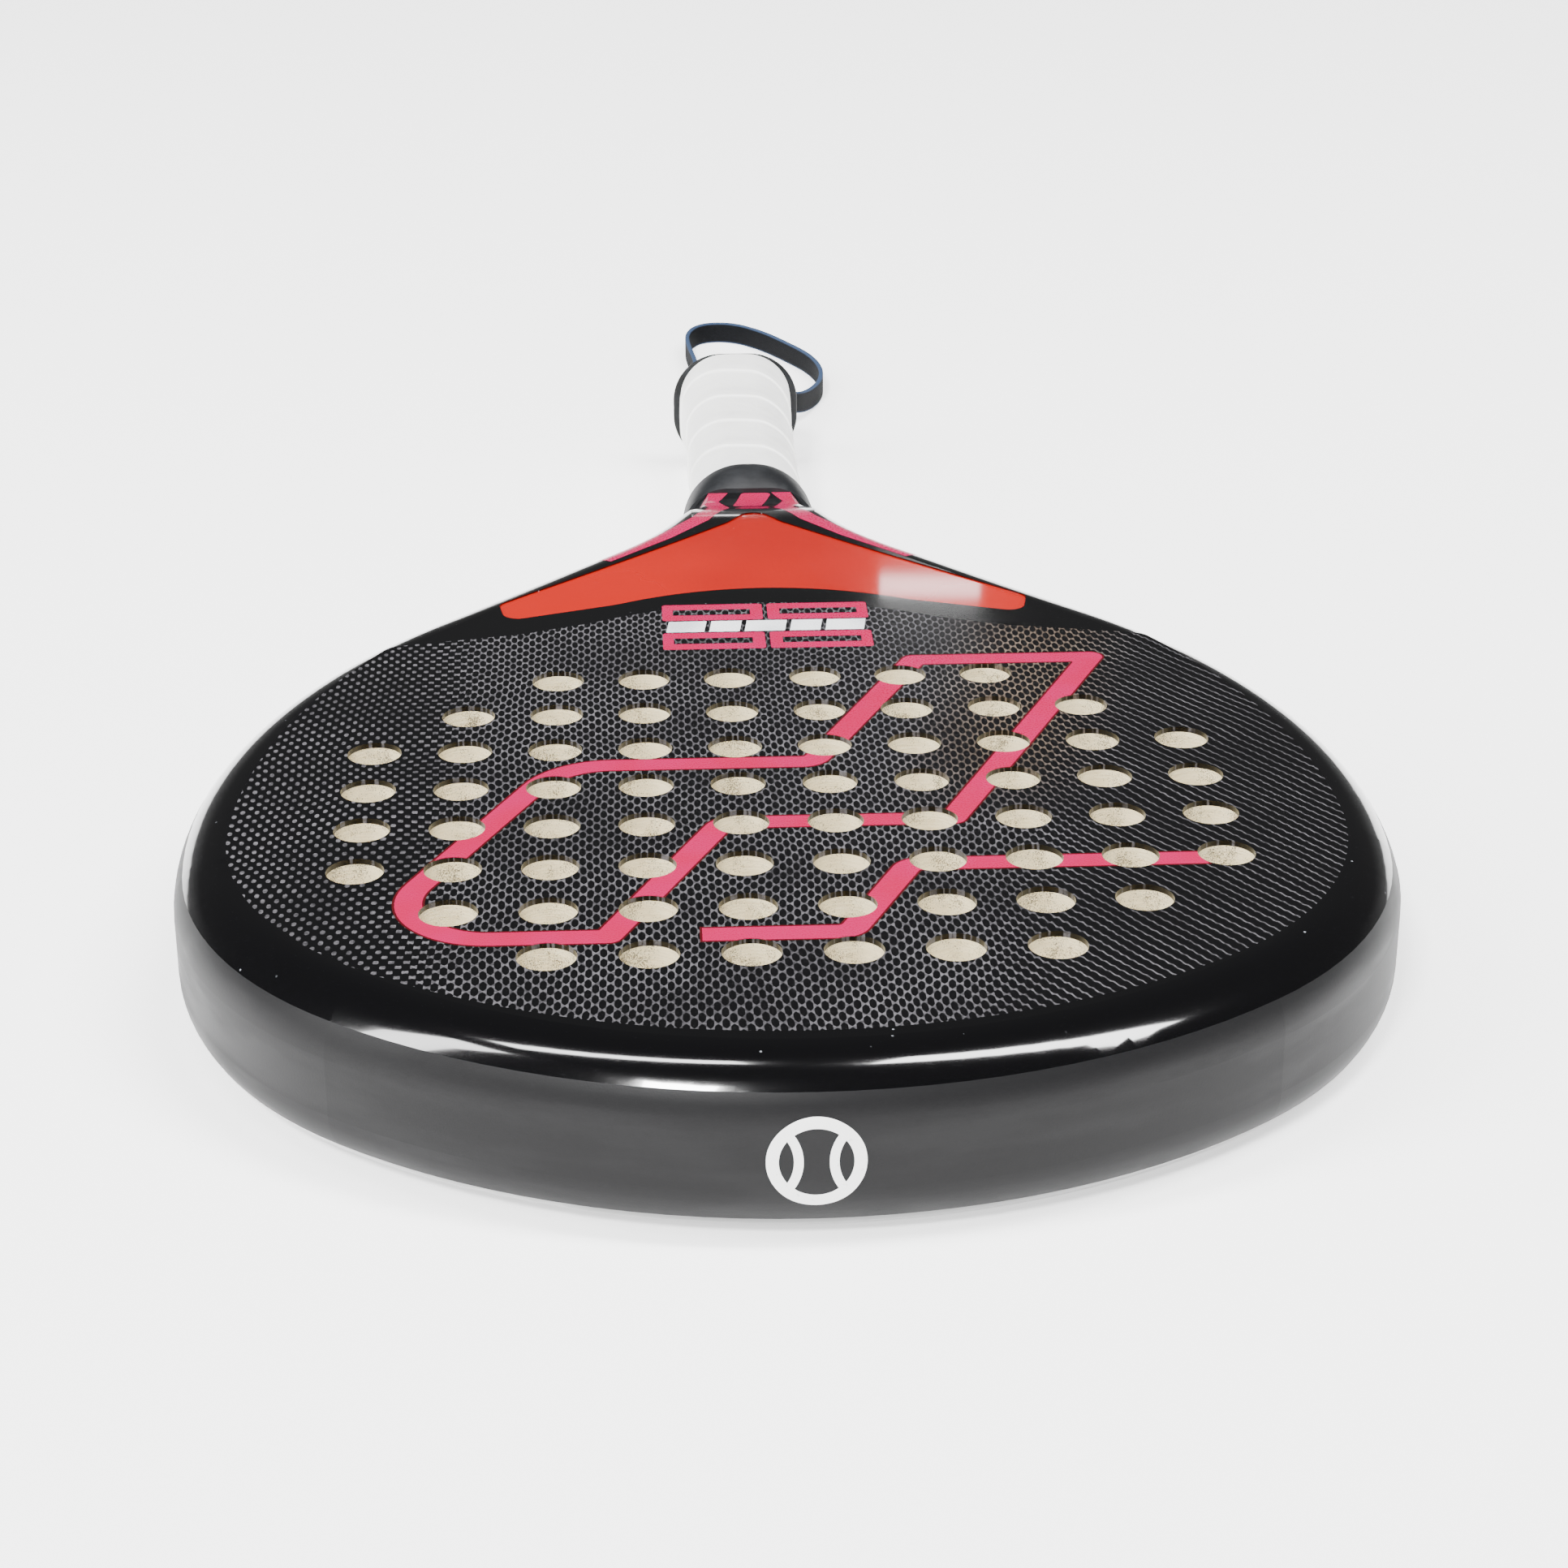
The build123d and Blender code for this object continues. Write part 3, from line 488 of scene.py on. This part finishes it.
@dataclass(frozen=True)
class StrapWebbing(Finish):
    """Flat nylon webbing: blue-black plain weave with ribs 0.6 mm apart, and a painted pale-blue highlight
    along its edges.

    It reads the ribbon's own UV map, in millimetres along and across.
    """

    name: str = "nylon_strap_webbing"
    colour: str = "#050608"
    lifted: str = "#0E1014"
    # Pale blue-grey of the painted highlight along the ribbon's edges.
    edge: str = "#34425A"
    width_mm: float = 7.0
    rib_mm: float = 0.6

    def paint(self, tree: bpy.types.NodeTree, shader: bpy.types.Node, mm: bpy.types.NodeSocket) -> None:
        """Two crossing ribs, and a painted highlight where the width ends."""
        own = add_node(tree, "ShaderNodeUVMap", uv_map="ribbon")
        place = add_node(tree, "ShaderNodeSeparateXYZ", {"Vector": own.outputs[0]})
        turn = 2 * math.pi / self.rib_mm
        warp = calculate(tree, "SINE", calculate(tree, "MULTIPLY", place.outputs["X"], turn))
        weft = calculate(tree, "SINE", calculate(tree, "MULTIPLY", place.outputs["Y"], turn))
        weave = calculate(tree, "MULTIPLY", warp, weft)
        half = self.width_mm / 2
        from_middle = calculate(tree, "ABSOLUTE", calculate(tree, "SUBTRACT", place.outputs["Y"], half))
        # Painted highlight: the last fraction of a millimetre at each edge turns pale blue-grey.
        edge_highlight = ramp(tree, from_middle, half - 0.7, half - 0.15, 0.0, 1.0)
        fibre = ramp(tree, noise(tree, mm, 0.7, 4.0, 0.7), 0.35, 0.75, 0.0, 0.8)
        cloth = blend_colour(tree, fibre, self.colour, self.lifted)
        tree.links.new(blend_colour(tree, edge_highlight, cloth, self.edge), shader.inputs["Base Color"])
        shader.inputs["Roughness"].default_value = 0.8
        shader.inputs["Specular IOR Level"].default_value = 0.12
        tree.links.new(bump(tree, ramp(tree, weave, -1.0, 1.0, 0.0, 1.0), 0.09), shader.inputs["Normal"])


@dataclass(frozen=True)
class DrawnSteel(Finish):
    """Bright drawn steel rod: grey, with fine lines along its length."""

    name: str = "drawn_steel"

    def paint(self, tree: bpy.types.NodeTree, shader: bpy.types.Node, mm: bpy.types.NodeSocket) -> None:
        """Metal with drawing lines in its roughness."""
        shader.inputs["Base Color"].default_value = linear("#B4B4B6")
        shader.inputs["Metallic"].default_value = 1.0
        drawn = add_node(tree, "ShaderNodeMapping", {"Vector": mm, "Scale": (6.0, 6.0, 0.2)})
        lines = noise(tree, drawn.outputs[0], 1.0, 3.0)
        tree.links.new(ramp(tree, lines, 0.3, 0.7, 0.25, 0.42), shader.inputs["Roughness"])
        tree.links.new(bump(tree, lines, 0.006), shader.inputs["Normal"])


@dataclass(frozen=True)
class RigidFoam(Finish):
    """Rigid polyurethane foam, poured: tan, matt, with open cells."""

    name: str = "poured_rigid_foam"

    def paint(self, tree: bpy.types.NodeTree, shader: bpy.types.Node, mm: bpy.types.NodeSocket) -> None:
        """Tan with fine cells, each painted darker in its pit as shade."""
        cells = add_node(tree, "ShaderNodeTexVoronoi", {"Vector": mm, "Scale": 1.4})
        # Painted shade: each cell darkens towards its middle, where the bump sinks it into a pit.
        depth = cells.outputs["Distance"]
        tree.links.new(blend_colour(tree, depth, "#8F8566", "#BFB48F"), shader.inputs["Base Color"])
        shader.inputs["Roughness"].default_value = 0.85
        tree.links.new(bump(tree, depth, 0.15), shader.inputs["Normal"])


def slot_finishes() -> dict[str, Finish]:
    """The finish of each of the record's material slots."""
    return {
        "gloss_black_frame": GlossLacquer(),
        "woven_face": WovenFace(),
        "eva_foam": FoamCore(),
        "pink_print": LacqueredInk(),
        "keyline_print": LacqueredInk("lacquered_ink_keyline", "#3E0408", "#4C060E", 0.28),
        "silver_print": LacqueredInk("lacquered_ink_silver", "#C9CDD2", "#F1F3F5", 0.2),
        "coral_panel": PolishedPanel(),
        "edge_band": MouldedBand(),
        "white_print": PadPrint(),
        "carbon_tube": SatinRubber("moulded_carbon_tube", "#141416", "#26262A", 0.4),
        "core_filler": RigidFoam(),
        "collar_rubber": SatinRubber(),
        "base_grip_wrap": SatinRubber("cushioned_base_wrap", "#1A1A1B", "#2C2C2E", 0.7),
        "white_overgrip": OvergripWrap(),
        "closing_tape": SatinRubber("adhesive_closing_tape", "#1C1C1F", "#2C2D31", 0.35),
        "butt_cap_black": SatinRubber("moulded_butt_cap", "#0C0D0E", "#1C1D20", 0.42),
        "pin_steel": DrawnSteel(),
        "strap_webbing": StrapWebbing(),
    }


FINISHES = slot_finishes()


# --- Sub-assemblies ------------------------------------------------------------------------------------------


@dataclass
class CarriedNodes:
    """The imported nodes, whose shape is already right: each gets its slot's finish."""

    def build(self) -> None:
        """Give each node of the record its slot's finish."""
        for part in frame["record"]["subparts"]:
            node = frame["nodes"][part["node"]]
            dress(node, FINISHES[part["material_slot"]].material())
            log.info("%s: %s", part["node"], part["material_slot"])


@dataclass
class Overgrip:
    """The white wrap, wound towards the head with each turn lapping the one before."""

    start_y: float = 112.0 * MM
    flare_end_y: float = 219.0 * MM
    end_y: float = 225.3 * MM
    middle_z: float = 19.0 * MM
    width: float = 30.8 * MM
    height: float = 31.8 * MM
    corner_r: float = 12.4 * MM
    flare_y: float = 200.0 * MM
    flare: float = 1.7 * MM
    thickness: float = 0.8 * MM
    pitch: float = 23.0 * MM
    lap_height: float = 0.5 * MM
    rows_per_turn: int = 26
    columns: int = 120

    def outline(self, turn: float, grow: float) -> Vector:
        """A point on the grip's rounded section.

        Args:
            turn: The place round the section, from 0 to 1.
            grow: How far outside the plain section it lies.

        Returns:
            The point's X and Z, from the handle's middle.
        """
        angle = 2 * math.pi * turn
        direction = Vector((math.cos(angle), math.sin(angle)))
        flat_x = self.width / 2 - self.corner_r
        flat_z = self.height / 2 - self.corner_r
        corner = Vector((math.copysign(flat_x, direction.x), math.copysign(flat_z, direction.y)))
        blend = (min(1.0, 6 * abs(direction.x)), min(1.0, 6 * abs(direction.y)))
        corner = Vector((corner.x * blend[0], corner.y * blend[1]))
        return corner + direction * (self.corner_r + grow)

    def growth(self, y: float, along: float) -> float:
        """How far the wrap stands out, from the flare at the butt and the lap of its turns."""
        if y < self.flare_y:
            flare = 0.3 * MM * smooth_step(y, self.start_y, self.flare_y)
        else:
            share = min((y - self.flare_y) / (self.flare_end_y - self.flare_y), 1.0)
            flare = 0.3 * MM + (self.flare - 0.3 * MM) * share
        lap = smooth_step(along, 0.0, 0.016) * (1 - smooth_step(along, 0.10, 0.42))
        return flare + self.lap_height * (lap - 0.35)

    def build(self) -> bpy.types.Object:
        """Lay a sheared grid round the handle and trim it square at both ends."""
        turns = math.ceil((self.end_y - self.start_y) / self.pitch) + 2
        rows = turns * self.rows_per_turn
        shape = bmesh.new()
        bmesh.ops.create_grid(shape, x_segments=self.columns, y_segments=rows, size=0.5)
        for vert in shape.verts:
            round_share = vert.co.x + 0.5
            wound = (vert.co.y + 0.5) * turns
            whole = math.floor(wound + 1e-6)
            along = max(wound - whole, 0.0) ** 1.6
            y = self.start_y + (whole + along + round_share - 1) * self.pitch
            lapped = along if along > 0 else 0.0
            clamped = min(max(y, self.start_y), self.end_y)
            spot = self.outline(round_share, self.growth(clamped, lapped))
            vert.co = Vector((spot.x, y, self.middle_z + spot.y))
        bmesh.ops.remove_doubles(shape, verts=shape.verts, dist=0.004 * MM)
        for y, out in ((self.start_y, -1), (self.end_y, 1)):
            geometry = shape.verts[:] + shape.edges[:] + shape.faces[:]
            bmesh.ops.bisect_plane(
                shape,
                geom=geometry,
                plane_co=(0, y, 0),
                plane_no=(0, out, 0),
                clear_outer=True,
                dist=0.001 * MM,
            )
        bmesh.ops.recalc_face_normals(shape, faces=shape.faces)
        bmesh.ops.solidify(shape, geom=shape.faces[:], thickness=self.thickness)
        piece = finished("overgrip_wrap", shape, 60)
        dress(piece, FINISHES["white_overgrip"].material())
        return mount(piece, Body.RACKET, "white_overgrip", "overgrip")


@dataclass
class WristStrap:
    """The flat ribbon that stands on its edge: out of the cap, down to the table, round its loop and back."""

    width: float = 7.0 * MM
    thickness: float = 1.4 * MM
    pin_y: float = 220.4 * MM
    middle_z: float = 19.0 * MM
    eye_r: float = 2.78 * MM
    strand_x: float = 0.9 * MM
    eye_end_y: float = 229.5 * MM
    route_mm: tuple[tuple[float, float, float], ...] = (
        (0.9, 229.5, 18.9),
        (1.4, 239, 18.3),
        (6, 248, 15.0),
        (14, 256, 11.7),
        (21, 266, 7.35),
        (25.5, 278, 4.4),
        (30, 291, 3.5),
        (31.5, 305, 3.5),
        (28.5, 321, 3.5),
        (21, 336, 3.5),
        (13, 350, 3.5),
        (3, 360.5, 3.5),
        (-8, 360, 3.5),
        (-13, 349, 3.5),
        (-12.5, 334, 3.5),
        (-10.5, 317, 3.5),
        (-10, 299, 3.5),
        (-9, 281, 4.0),
        (-8, 265, 7.8),
        (-4.5, 252, 13.4),
        (-1.3, 240.5, 18.0),
        (-0.9, 229.5, 18.9),
    )

    def line(self) -> list[Vector]:
        """The ribbon's middle line, read from a smooth spline through its route."""
        curve = bpy.data.curves.new("strap_line", "CURVE")
        curve.dimensions = "3D"
        curve.resolution_u = 8
        spline = curve.splines.new("NURBS")
        spline.points.add(len(self.route_mm) - 1)
        for point, place in zip(spline.points, self.route_mm):
            point.co = (*(Vector(place) * MM), 1.0)
        spline.order_u = 3
        spline.use_endpoint_u = True
        holder = bpy.data.objects.new("strap_line", curve)
        mesh = bpy.data.meshes.new_from_object(holder)
        points = [vert.co.copy() for vert in mesh.vertices]
        bpy.data.objects.remove(holder)
        bpy.data.meshes.remove(mesh)
        return points

    def eye_line(self) -> list[Vector]:
        """The middle line of the sewn end: one strand in, round the pin and back."""
        inner = Vector((self.strand_x, self.eye_end_y, self.middle_z))
        points = [inner]
        steps = 28
        opening = math.asin(self.strand_x / self.eye_r)
        for i in range(steps + 1):
            angle = math.pi / 2 - opening - (2 * math.pi - 2 * opening) * i / steps
            spot = Vector((math.cos(angle), math.sin(angle), 0)) * self.eye_r
            points.append(Vector((0, self.pin_y, self.middle_z)) + spot)
        points.append(Vector((-self.strand_x, self.eye_end_y, self.middle_z)))
        return points

    def ribbon(self, name: str, line: list[Vector]) -> bpy.types.Object:
        """A ribbon on its edge along a line.

        Args:
            name: The piece's name.
            line: The points of the ribbon's middle line.

        Returns:
            The ribbon, with its thickness and a UV map in millimetres.
        """
        shape = bmesh.new()
        down = Vector((0, 0, -self.width / 2))
        verts = [shape.verts.new(point + down) for point in line]
        edges = [shape.edges.new(pair) for pair in zip(verts, verts[1:])]
        rise = bmesh.ops.extrude_edge_only(shape, edges=edges)
        lifted = [item for item in rise["geom"] if isinstance(item, bmesh.types.BMVert)]
        bmesh.ops.translate(shape, verts=lifted, vec=(0, 0, self.width))
        ups = [edge for edge in shape.edges if abs(edge.verts[0].co.z - edge.verts[1].co.z) > self.width * 0.9]
        bmesh.ops.subdivide_edges(shape, edges=ups, cuts=3, use_grid_fill=True)
        self.map_ribbon(shape, line)
        piece = finished(name, shape, 60)
        wall = piece.modifiers.new("webbing_thickness", "SOLIDIFY")
        wall.thickness = self.thickness
        wall.offset = 0.0
        wall.use_even_offset = True
        rounded = piece.modifiers.new("soft_edge", "BEVEL")
        rounded.width = 0.3 * MM
        rounded.segments = 2
        rounded.limit_method = "ANGLE"
        rounded.angle_limit = math.radians(60)
        dress(piece, FINISHES["strap_webbing"].material())
        return piece

    def map_ribbon(self, shape: bmesh.types.BMesh, line: list[Vector]) -> None:
        """Write each corner's distance along and across the ribbon, in millimetres, to its UV map."""
        lengths = [0.0]
        for before, after in zip(line, line[1:]):
            lengths.append(lengths[-1] + (after - before).length)
        layer = shape.loops.layers.uv.new("ribbon")
        for face in shape.faces:
            for loop in face.loops:
                place = loop.vert.co
                nearest = min(range(len(line)), key=lambda i: (line[i].xy - place.xy).length_squared)
                across = place.z - line[nearest].z + self.width / 2
                loop[layer].uv = (lengths[nearest] / MM, across / MM)

    def build(self) -> None:
        """The loop and the sewn eye on the pin."""
        line = self.line()
        eye = mount(self.ribbon("strap_sewn_eye", self.eye_line()), Body.STRAP, "strap_webbing", "strap_eye")
        loop = mount(self.ribbon("strap_loop", line), Body.STRAP, "strap_webbing", "wrist_strap")


# --- Studio --------------------------------------------------------------------------------------------------


@dataclass
class Softbox:
    """One rectangular studio light, aimed at a point."""

    name: str
    place: tuple[float, float, float]
    target: tuple[float, float, float]
    size: tuple[float, float]
    power: float

    def build(self) -> None:
        """Add the light."""
        light = bpy.data.lights.new(self.name, "AREA")
        light.shape = "RECTANGLE"
        light.size, light.size_y = self.size
        light.energy = self.power
        lamp = bpy.data.objects.new(self.name, light)
        lamp.location = self.place
        aim = Vector(self.target) - Vector(self.place)
        lamp.rotation_mode = "QUATERNION"
        lamp.rotation_quaternion = aim.to_track_quat("-Z", "Y")
        lamp.visible_camera = False
        bpy.context.scene.collection.objects.link(lamp)


@dataclass
class Studio:
    """A pale floor, soft light and the camera."""

    camera_place: tuple[float, float, float] = (-0.0298, -0.7476, 0.3306)
    turn_deg: float = 2.63
    down_deg: float = 24.30
    roll_deg: float = -0.11
    lens: float = 75.2

    def camera(self) -> None:
        """A level camera that looks down along the racket from the tip."""
        data = bpy.data.cameras.new("camera")
        data.lens = self.lens
        data.sensor_width = 36.0
        data.clip_start, data.clip_end = 0.01, 100.0
        camera = bpy.data.objects.new("camera", data)
        turn, down = math.radians(self.turn_deg), math.radians(self.down_deg)
        look = Vector((math.sin(turn) * math.cos(down), math.cos(turn) * math.cos(down), -math.sin(down)))
        camera.location = self.camera_place
        camera.rotation_mode = "QUATERNION"
        camera.rotation_quaternion = look.to_track_quat("-Z", "Y")
        camera.rotation_mode = "XYZ"
        camera.rotation_euler.rotate_axis("Z", math.radians(self.roll_deg))
        bpy.context.scene.collection.objects.link(camera)
        bpy.context.scene.camera = camera

    def floor(self) -> None:
        """A broad pale floor under the racket."""
        shape = bmesh.new()
        bmesh.ops.create_grid(shape, x_segments=1, y_segments=1, size=12.0)
        floor = finished("floor", shape)
        material = bpy.data.materials.new("pale_floor")
        material.use_nodes = True
        shader = material.node_tree.nodes["Principled BSDF"]
        shader.inputs["Base Color"].default_value = linear("#F6F6F6")
        shader.inputs["Roughness"].default_value = 0.9
        shader.inputs["Specular IOR Level"].default_value = 0.1
        shader.inputs["Emission Color"].default_value = linear("#FFFFFF")
        shader.inputs["Emission Strength"].default_value = 1.3
        dress(floor, material)

    def world(self) -> None:
        """Soft light all round: pale near the horizon, dimmer overhead."""
        world = bpy.data.worlds.new("soft_room")
        world.use_nodes = True
        bpy.context.scene.world = world
        tree = world.node_tree
        background = tree.nodes["Background"]
        place = add_node(tree, "ShaderNodeTexCoord")
        height = add_node(tree, "ShaderNodeSeparateXYZ", {"Vector": place.outputs["Generated"]})
        fade = ramp(tree, height.outputs["Z"], 0.0, 0.25, 0.25, 0.08)
        tree.links.new(fade, background.inputs["Color"])
        background.inputs["Strength"].default_value = 1.0

    def build(self) -> None:
        """Camera first, then floor and light."""
        self.camera()
        self.floor()
        self.world()
        for light in (
            Softbox("key_front", (-1.1, -2.9, 3.0), (0.0, -0.05, 0.0), (0.7, 0.7), 330.0),
            Softbox("box_left", (-2.4, -0.9, 1.7), (0.0, -0.1, 0.0), (0.5, 2.4), 120.0),
            Softbox("box_above", (-0.8, -0.2, 3.0), (0.0, -0.1, 0.0), (0.3, 1.3), 50.0),
            Softbox("box_right", (1.3, -0.5, 2.7), (0.0, -0.1, 0.0), (0.5, 1.9), 150.0),
            Softbox("glint_right", (0.258, 2.32, 0.917), (0.042, 0.02, 0.038), (0.10, 0.02), 0.06),
            Softbox("glint_middle", (0.06, 3.0, 0.5), (0.0, 0.07, 0.036), (0.06, 0.10), 0.1),
        ):
            light.build()


def main() -> None:
    """Set the studio, dress the carried nodes and build the pieces that stand for the rest."""
    logging.basicConfig(level=logging.INFO, format="%(message)s")
    Studio().build()
    WristStrap().build()
    CarriedNodes().build()
    Overgrip().build()


if __name__ == "__main__":
    main()
